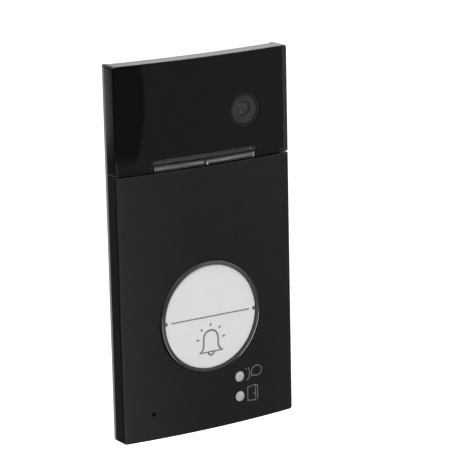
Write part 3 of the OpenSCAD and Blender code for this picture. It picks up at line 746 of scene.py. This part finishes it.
def bow_hole(name, x, z, r, lip, steps):
    """Cutter for a round hole in the bowed face, flared so that the mouth has an even lip."""
    outline = [(0, HOLE_BACK), (r, HOLE_BACK), (r, on_bow(-lip))]
    for turn in (20, 40, 60, 78):
        a = math.radians(turn)
        outline.append((r + lip - lip * math.cos(a), on_bow(lip * math.sin(a) - lip)))
    outline += [(r + lip * 1.02, on_bow(1.0)), (0, on_bow(1.0))]
    return turned(name, x, z, outline, steps)


def screw_posts(r, back, front, places):
    """Posts for screws, at each place and at its mirror image."""
    outline = [(0, back), (r, back), (r, front), (0, front)]
    return [turned("post", s * x, z, outline, 32) for s in (-1, 1) for x, z in places]


def opening_rim():
    """Wall round the button opening, behind the plate's face."""
    inner, outer = HOLE_R - 2, HOLE_R + 1.5
    back, front = CHASSIS_CROWN + 0.5, CROWN - 1.8
    return turned("rim", CAP.x, CAP.z, [(inner, back), (outer, back), (outer, front), (inner, front)])


def plate_shell():
    """Cast front plate: bowed shell with the button opening and the small holes.

    The small holes come first, because the boolean misses them in the finished shell.
    """
    shell = panel_block("plate_shell", PLATE.low, PLATE.high, OUTER_R, SEAM_R)
    combine(shell, [panel_hollow("hollow", PLATE.low, PLATE.high, PLATE_WALL, PLATE_WALL)], "DIFFERENCE")
    cutters = [bow_hole("window", rod.x, rod.z, WINDOW_R, 0.1, 44) for rod in (TALK, DOOR)]
    cutters.append(bow_hole("mic", MIC.x, MIC.z, MIC_R, 0.15, 32))
    combine(shell, cutters, "DIFFERENCE")
    posts = screw_posts(2.8, 18.4, 24, ((30.5, -60), (30.5, 27)))
    combine(shell, [opening_rim()] + posts, "UNION")
    combine(shell, [bow_hole("opening", CAP.x, CAP.z, HOLE_R, 0.3, 144)], "DIFFERENCE")
    soften(shell)
    finish_piece(shell, ["black_cast_metal", "cast_side_painted_shade"], "housing", "black_cast_metal", "front_plate")
    # The side faces take the darker copy of the powder coat, which is painted shade.
    for face in shell.data.polygons:
        face.material_index = 1 if abs(face.normal.x) > 0.9 else 0


def strip_pocket(name, front, grow=0.0):
    """Cutter for the space that the light guide's flange takes up inside the cover."""
    aside, above = 0.4 + grow, 0.2 + grow
    return box_piece(name, GUIDE.left - aside, GUIDE.right + aside, front, BEHIND,
                     COVER.low - 1, GUIDE.high + above)


def cover_shell():
    """Smoked cover: bowed glossy shell with a notch for the light strip."""
    shell = panel_block("cover_shell", COVER.low, COVER.high, SEAM_R, OUTER_R)
    combine(shell, [panel_hollow("hollow", COVER.low, COVER.high, COVER_WALL, COVER_SIDE)], "DIFFERENCE")
    notch = box_piece("notch", STRIP_LEFT - 0.1, STRIP_RIGHT + 0.1, BEYOND, BEHIND,
                      COVER.low - 1, COVER.low + 3)
    combine(shell, [notch, strip_pocket("pocket", CROWN - 2.5)], "DIFFERENCE")
    soften(shell)
    finish_piece(shell, ["smoked_acrylic", "smoked_side"], "housing", "smoked_acrylic", "smoked_cover")
    for face in shell.data.polygons:
        face.material_index = 0 if face.normal.y < -0.9 or face.normal.y > 0.5 else 1


def cover_mask():
    """Black lining of the cover with its screw posts, open at the camera and at the light strip."""
    mask = panel_hollow("cover_mask", COVER.low, COVER.high, COVER_WALL + MASK_GAP, COVER_SIDE + MASK_GAP)
    core = panel_hollow("core", COVER.low, COVER.high, COVER_WALL + MASK_WALL, COVER_SIDE + MASK_WALL)
    back = box_piece("back", -HALF_W, HALF_W, CHASSIS_CROWN - BOW + 0.6, 0, COVER.low, COVER.high)
    combine(mask, [core, back], "DIFFERENCE")
    under = on_bow(-COVER_WALL - MASK_GAP - 0.05)
    combine(mask, screw_posts(2.6, 18.7, under, ((18, 77.5), (31.6, 45.5))), "UNION")
    r = COLLAR.r + 0.7
    outline = [(0, HOLE_BACK), (r, HOLE_BACK), (r, BEYOND), (0, BEYOND)]
    window = turned("window", COLLAR.x, COLLAR.z, outline)
    combine(mask, [window, strip_pocket("pocket", BEYOND, 0.1)], "DIFFERENCE")
    finish_piece(soften(mask), ["mask_print"], "housing", "smoked_acrylic")


# ---------- light strip ----------

def strip_bar():
    """Bar that fills the cover's notch, with a finely fluted front and a nick in it."""
    flute_depth, flute_pitch = 0.05, 1.5
    nick_depth, nick_slope = 0.7, 1.4
    back, high, chamfer = 22.5, GUIDE.low + STRIP_BAR_HEIGHT, 0.15
    count = 288
    loops = []
    for i in range(count + 1):
        x = STRIP_LEFT + (STRIP_RIGHT - STRIP_LEFT) * i / count
        flute = flute_depth * (1 + math.cos(2 * math.pi * x / flute_pitch))
        nick = max(0.0, nick_depth - abs(x - STRIP_NICK) * nick_slope)
        front = bow_depth(x, CROWN) - 0.3 - flute - nick
        corners = [(front, GUIDE.low), (front, high - chamfer), (front - chamfer, high),
                   (back, high), (back, GUIDE.low)]
        loops.append([(x, depth, z) for depth, z in corners])
    return loft("strip_guide", loops)


def strip_flange():
    """Wider flange that stays behind the cover."""
    inwards = 2.65
    low, high, back = GUIDE.low, GUIDE.high, GUIDE.back
    loops = []
    for i in range(41):
        x = GUIDE.right * (i / 20 - 1)
        front = bow_depth(x, CROWN) - inwards
        loops.append([(x, front, low), (x, front, high), (x, back, high), (x, back, low)])
    return loft("flange", loops)


def strip_guide():
    """Light guide: the bar that shows and its hidden flange, in one piece."""
    guide = combine(strip_bar(), [strip_flange()], "UNION")
    finish_piece(soften(guide), ["clear_acrylic"], "housing", "clear_acrylic", "light_guide")


# ---------- camera ----------

def lens_shroud():
    """Rubber ring round the barrel, seen through the smoked cover."""
    front, back = COLLAR.front, COLLAR.back
    outer, seat, mouth = COLLAR.r + 0.2, 7.0, 6.6
    shroud = turned("lens_shroud", COLLAR.x, COLLAR.z, [
        (seat, back), (outer - 0.2, back), (outer, back + 0.2), (outer, front - 0.3), (outer - 0.3, front),
        (mouth + 0.2, front), (mouth, front - 0.2), (mouth, front - 1.2), (seat, front - 1.2),
    ])
    finish_piece(soften(shroud), ["shroud_rubber"], "housing", "rubber_black", "camera_collar")


def lens_barrel():
    """Turned barrel with a flange, a groove in its face and a seat for the front lens."""
    front, back = BARREL.front, BARREL.back
    bore, body, flange, seat = 2.2, 4.9, 6.5, 3.6
    barrel = turned("lens_barrel_turned", COLLAR.x, COLLAR.z, [
        (bore, back), (body - 0.15, back), (body, back + 0.15), (body, front - 1.25),
        (flange, front - 1.25), (flange, front - 0.2), (flange - 0.15, front), (5.3, front),
        (5.1, front - 0.15), (4.6, front - 0.15), (4.4, front - 0.02), (3.9, front - 0.02),
        (seat, front - 0.25), (seat, GLASS.back), (bore, GLASS.back),
    ])
    finish_piece(soften(barrel), ["barrel_black"], "housing", "black_anodised", "lens_barrel")


def front_lens():
    """Domed front lens."""
    r, rise, steps = GLASS.r, 1.35, 10
    dome_r = (r * r + rise * rise) / (2 * rise)
    outline = [(0, GLASS.back), (r - 0.1, GLASS.back), (r, GLASS.back + 0.1)]
    for i in range(steps + 1):
        reach = r * (1 - i / steps)
        outline.append((reach, GLASS.front - dome_r + math.sqrt(dome_r ** 2 - reach ** 2)))
    dome = turned("front_lens", COLLAR.x, COLLAR.z, outline, 64)
    finish_piece(soften(dome), ["lens_glass"], "housing", "lens_glass", "lens_glass")


# ---------- status windows and printed signs ----------

def window_rod(name, rod, node):
    """Milky rod with a collar, whose end is flush with the bowed face."""
    r, collar_back, collar_front = WINDOW_R - 0.08, 22.2, 23.2
    outline = [
        (0, rod.back), (r - 0.1, rod.back), (r, rod.back + 0.1),
        (r, collar_back), (r + 1, collar_back), (r + 1, collar_front), (r, collar_front),
        (r, on_bow(-0.2)), (r - 0.04, on_bow(-0.11)), (r - 0.12, on_bow(-0.06)), (0, on_bow(-0.05)),
    ]
    piece = turned(name, rod.x, rod.z, outline, 48)
    finish_piece(soften(piece), ["milky_acrylic"], "housing", "milky_acrylic", node)


def bell_outline():
    """One closed line round a plain hand-bell shape, (x, z) from the bell's shoulder line."""
    right = curve((0, 4.35), (2.5, 4.35), (3.9, 2.6), (3.9, 0.1))
    right += curve((3.9, 0.1), (3.9, -3.1), (3.75, -4.6), (5.95, -5.75))
    right.append((5.95, -5.9))
    left = [(-x, z) for x, z in reversed(right[1:])]
    return right + left


def label_signs():
    """Printed line, bell and sound dashes on the label."""
    def face(_):
        return LABEL.front

    width, rule_width, lift = 0.88, 0.62, 0.012
    rule_left, rule_right = -20.8, 20.9
    bell_z = CAP.z - 10.95
    rule = [(rule_left, CAP.z), (0, CAP.z), (rule_right, CAP.z)]
    parts = [stroke("rule", rule, rule_width, face, lift)]
    outline = [(x, z + bell_z) for x, z in bell_outline()]
    parts.append(stroke("bell", outline, width, face, lift, closed=True))
    clapper = quarter(0, bell_z - 6.0, 1.5, 180, 360, 10)
    parts.append(stroke("clapper", clapper, width, face, lift))
    dash_z, half_dash = bell_z - 0.35, 0.36
    for turn, reach in ((7, 7.0), (48, 7.3), (90, 7.4), (132, 7.3), (173, 7.0)):
        a = math.radians(turn)
        dash = [(e * math.cos(a), dash_z + e * math.sin(a)) for e in (reach - half_dash, reach + half_dash)]
        parts.append(stroke("dash", dash, width, face, lift))
    finish_piece(join("label_signs", parts), ["grey_ink"], "call_button", "label_white")


def beside(window, places):
    """Places given from a window's middle."""
    return [(window.x + x, window.z + z) for x, z in places]


def speech_bubble():
    """Closed line round an oval speech bubble, (x, z) from the talk window."""
    x, z, half_w, half_h = 9.65, 1.25, 2.9, 2.45
    turns = [math.radians(a) for a in range(228, 228 + 335, 15)]
    tail = (6.5, -1.1)
    return [(x + half_w * math.cos(t), z + half_h * math.sin(t)) for t in turns] + [tail]


def face_profile():
    """Open line down a plain face seen from the side, (x, z) from the talk window."""
    profile = curve((4.9, 3.5), (5.3, 2.8), (4.9, 2.0), (6.0, 0.7), 8)
    profile += [(6.0, 0.7), (5.35, 0.3), (5.35, -0.4)]
    return profile + curve((5.35, -0.5), (5.2, -2.2), (4.7, -2.2), (3.5, -2.25), 8)


def panel_signs():
    """Printed talk and door signs beside the two windows."""
    def face(x):
        return bow_depth(x, CROWN)

    width, lift = 0.29, 0.02
    eye = [(3.55, 2.95), (3.75, 2.95)]
    leaf = [(4.3, 3.6), (8.7, 4.1), (8.9, -3.45), (4.3, -2.85)]
    jamb = [(8.7, 4.1), (10.0, 3.5), (10.0, -3.0)]
    knob = [(8.0, 0.1), (8.0, -0.1)]
    parts = [
        stroke("bubble", beside(TALK, speech_bubble()), width, face, lift, closed=True),
        stroke("profile", beside(TALK, face_profile()), width, face, lift),
        stroke("eye", beside(TALK, eye), 0.45, face, lift),
        stroke("leaf", beside(DOOR, leaf), width, face, lift, closed=True),
        stroke("jamb", beside(DOOR, jamb), width, face, lift),
        stroke("knob", beside(DOOR, knob), 0.5, face, lift),
    ]
    finish_piece(join("panel_signs", parts), ["pale_ink"], "housing", "black_cast_metal")


# ---------- call button ----------

PEG_X, PEG_R = 23.7, 0.8        # the cap's pegs, right and left of its middle
PEG_BACK = 24.6
CAP_UNDER = LABEL.front + 0.02  # depth of the cap's inner face
CLEAR_R = LABEL.r + 0.15        # the cap is clear inside this radius and ground outside it


def cap_finish(face):
    """Which of the cap's materials a face has: clear, ground face, ground side or peg."""
    middle = face.center / MM
    from_peg = math.hypot(abs(middle.x - CAP.x) - PEG_X, middle.z - CAP.z)
    if from_peg < PEG_R + 0.01 and -middle.y < CAP_UNDER - 0.005:
        return 3
    if math.hypot(middle.x - CAP.x, middle.z - CAP.z) > CLEAR_R:
        return 1 if face.normal.y < -0.95 else 2
    return 0


def cap_piece():
    """Clear cap with a ground, chamfered edge, a side wall and two pegs."""
    x, z, r = CAP.x, CAP.z, CAP.r
    front, inner, foot = CAP.front, CAP.r - 1.0, CAP.back + 0.7
    outline = [(0, front), (CLEAR_R, front), (r - 0.72, front), (r - 0.13, front - 0.275)]
    outline += quarter(r - 0.2, front - 0.49, 0.2, 50, 0, 3)
    outline += [(r, foot + 0.2), (r - 0.2, foot), (inner + 0.2, foot), (inner, foot + 0.2)]
    outline += [(inner, CAP_UNDER - 0.2), (inner - 0.2, CAP_UNDER), (CLEAR_R, CAP_UNDER), (0, CAP_UNDER)]
    cap = turned("clear_cap", x, z, outline, 144)
    top = CAP_UNDER - 0.01
    peg = [(0, PEG_BACK), (PEG_R, PEG_BACK), (PEG_R, top), (0, top)]
    pegs = [turned("peg", s * PEG_X, z, peg, 24) for s in (-1, 1)]
    cap = soften(join("clear_cap", [cap] + pegs))
    finishes = ["clear_cap", "frosted_edge", "cap_edge", "gray_abs"]
    finish_piece(cap, finishes, "call_button", "clear_cap", "button_cap")
    for face in cap.data.polygons:
        face.material_index = cap_finish(face)


def label_piece():
    """White label disc, notched for the cap's pegs."""
    r, front, chamfer = LABEL.r, LABEL.front, 0.03
    outline = [(0, LABEL.back), (r, LABEL.back), (r, front - chamfer), (r - chamfer, front), (0, front)]
    disc = turned("label_disc", CAP.x, CAP.z, outline, 144)
    notch_r, low, high = PEG_R + 0.12, 24, 27
    notch = [(0, low), (notch_r, low), (notch_r, high), (0, high)]
    combine(disc, [turned("notch", s * PEG_X, CAP.z, notch, 24) for s in (-1, 1)], "DIFFERENCE")
    finish_piece(soften(disc), ["label_white"], "call_button", "label_white", "name_label")


# ---------- CAD nodes that keep their shape ----------

EDGE_WIDTHS = {
    "wall_bracket": 0.2, "rear_cover": 0.3, "chassis": 0.12, "wall_seal": 0.15, "housing_seal": 0.1,
    "terminal_block": 0.2, "main_pcb": 0.08, "button_carrier": 0.1,
}
FINE_EDGE = 0.05                # bevel of every other node
NODE_FINISHES = {"chassis": "satin_abs"}    # nodes that don't take their slot's material
SWELLS = {"housing_seal": 0.08}             # how far the corners of a squeezed soft part move out


def swell(piece, amount):
    """Moves every corner of a soft part outwards, so that the part fills its joint."""
    growth = piece.modifiers.new("swell", "DISPLACE")
    growth.strength = amount * MM
    growth.mid_level = 0.0


def dress_node(node):
    """Material and fine bevels for a CAD node that shows, all with modifiers."""
    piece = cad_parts[node]
    if piece.hide_render:
        return
    slot = piece.material_slots[0].material.name
    piece.data.materials[0] = FINISHES[NODE_FINISHES.get(node, slot)]
    weld = piece.modifiers.new("weld", "WELD")
    weld.merge_threshold = 0.001 * MM
    if node in SWELLS:
        swell(piece, SWELLS[node])
    flat = piece.modifiers.new("flat", "DECIMATE")
    flat.decimate_type = "DISSOLVE"
    flat.angle_limit = math.radians(0.5)
    bevel = piece.modifiers.new("edges", "BEVEL")
    bevel.width = EDGE_WIDTHS.get(node, FINE_EDGE) * MM
    bevel.segments = 2
    bevel.limit_method = "ANGLE"
    bevel.angle_limit = math.radians(35)
    keep_flat(piece)


# ---------- stage ----------

# Each patch of the surroundings: turns from the front to the right and heights in degrees, the
# softness of its edge, and its brightness. Turns run from the seam at the left once round to it.
# A later patch lies over an earlier one.
STUDIO_SEAM = -120
STUDIO_LEVEL = 0.25
STUDIO = [
    ((-200, 400), (-95, -60), 8.0, 0.7),
    ((-200, 400), (35, 95), 8.0, 0.85),
    ((100, 209.3), (-60, 60), 1.0, 1.0),
    ((180, 209.3), (-32, 0), 1.0, 1.3),
    ((138, 180), (-32, 0), 6.0, 0.5),
    ((151, 200), (2, 60), 2.0, 0.35),
    ((79, 89), (-40, -18), 3.0, 17.0),
    ((207, 300), (-60, -11.9), 0.6, 0.1),
    ((207, 300), (-7, 40), 2.0, 0.04),
    ((-200, -95), (-60, -11.9), 0.6, 0.12),
    ((-14, 8), (-50, -12.9), 2.0, 4.2),
]
# The dark flag in front. Its upright edges bend aside by FLAG_BEND degrees for each squared degree
# between a height and FLAG_MIDDLE below the horizon, counting no more than FLAG_MOST of them.
FLAG = ((-70, 20.1), (-12.42, 40), 0.12, 0.08)
FLAG_MIDDLE, FLAG_BEND, FLAG_MOST = 11.0, 0.85, 3.0


def stage_floor():
    """Pale floor well below the panel."""
    size, drop, sides = 40000, 760, 64
    turns = [2 * math.pi * i / sides for i in range(sides)]
    ring = [(size * math.cos(t), size * math.sin(t), -drop) for t in turns]
    floor = new_object("studio_floor", ring, [list(range(sides))])
    r = new_material("pale_floor")
    tone = r.blend(r.noise(400.0), rgb(0.93), rgb(0.95))
    inputs = {"Base Color": tone, "Roughness": 0.9, "Emission Color": rgb(1.0), "Emission Strength": 0.6}
    floor.data.materials.append(r.finish(r.add("BsdfPrincipled", inputs)))
    floor.visible_glossy = False
    floor.visible_diffuse = False


def studio_world():
    """Surroundings: bright above, below and behind, dim in front, with small bright and dark parts."""
    r = Recipe(bpy.data.worlds.new("studio"))
    toward = r.add("SeparateXYZ", {0: r.spaces["Generated"]}).outputs
    height = r.math("MULTIPLY", r.math("ARCSINE", toward["Z"]), math.degrees(1))
    turn = r.math("ARCTAN2", toward["X"], r.math("MULTIPLY", toward["Y"], -1.0))
    turn = r.math("ADD", r.math("MULTIPLY", turn, math.degrees(1)), -STUDIO_SEAM)
    turn = r.math("ADD", r.math("FLOORED_MODULO", turn, 360.0), STUDIO_SEAM)
    bend = r.math("POWER", r.math("ABSOLUTE", r.math("ADD", height, FLAG_MIDDLE)), 2.0)
    bowed = r.math("ADD", turn, r.math("MULTIPLY", r.math("MINIMUM", bend, FLAG_MOST), FLAG_BEND))

    def between(value, low, high, edge):
        rise = r.remap(value, low - edge, low + edge, smooth=True)
        fall = r.remap(value, high - edge, high + edge, 1.0, 0.0, smooth=True)
        return r.math("MULTIPLY", rise, fall)

    def mixed(share, level, other):
        return r.add("Mix", {0: share, 2: level, 3: other}, data_type="FLOAT").outputs[0]

    def laid_over(level, around, turns, heights, edge, other):
        share = r.math("MULTIPLY", between(around, *turns, edge), between(height, *heights, edge))
        return mixed(share, level, other)

    level = STUDIO_LEVEL
    for patch in STUDIO:
        level = laid_over(level, turn, *patch)
    level = laid_over(level, bowed, *FLAG)
    level = mixed(r.add("LightPath").outputs["Is Camera Ray"], level, 1.0)
    bpy.context.scene.world = r.finish(r.add("Background", {"Color": rgb(1.0), "Strength": level}))


def soft_light(name, x, depth, z, size, power):
    """Square softbox turned towards the panel."""
    light = bpy.data.lights.new(name, "AREA")
    light.shape = "SQUARE"
    light.size = size * MM
    light.energy = power
    lamp = bpy.data.objects.new(name, light)
    lamp.location = point(x, depth, z)
    lamp.rotation_euler = (-lamp.location).to_track_quat("-Z", "Y").to_euler()
    bpy.context.scene.collection.objects.link(lamp)


def stage_camera():
    """Camera at the photograph's viewing angle: from the left, a little above, long lens."""
    azimuth, elevation, roll, distance = 32.33, 13.99, -1.26, 1148.2
    aim = point(9.98, 27.25, 6.62)
    turn = (Matrix.Rotation(math.radians(-azimuth), 4, "Z")
            @ Matrix.Rotation(math.radians(90 - elevation), 4, "X")
            @ Matrix.Rotation(math.radians(roll), 4, "Z"))
    data = bpy.data.cameras.new("studio_camera")
    data.sensor_width = 36
    data.lens = 197.8
    data.clip_start = 0.01
    camera = bpy.data.objects.new("studio_camera", data)
    camera.matrix_world = Matrix.Translation(aim) @ turn @ Matrix.Translation((0, 0, distance * MM))
    bpy.context.scene.collection.objects.link(camera)
    bpy.context.scene.camera = camera


# ---------- build ----------

stage_camera()
plate_shell()
cover_shell()
cover_mask()
strip_guide()
lens_shroud()
lens_barrel()
front_lens()
window_rod("talk_window", TALK, "talk_light_pipe")
window_rod("door_window", DOOR, "door_light_pipe")
cap_piece()
label_piece()
label_signs()
panel_signs()
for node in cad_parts:
    dress_node(node)

stage_floor()
studio_world()
soft_light("key_softbox", -900, 1500, 1300, 1100, 36)
soft_light("fill_softbox", 1300, 1300, 500, 1400, 6)
soft_light("top_softbox", 100, -200, 1600, 1500, 33)
bpy.context.scene.view_settings.view_transform = "Standard"
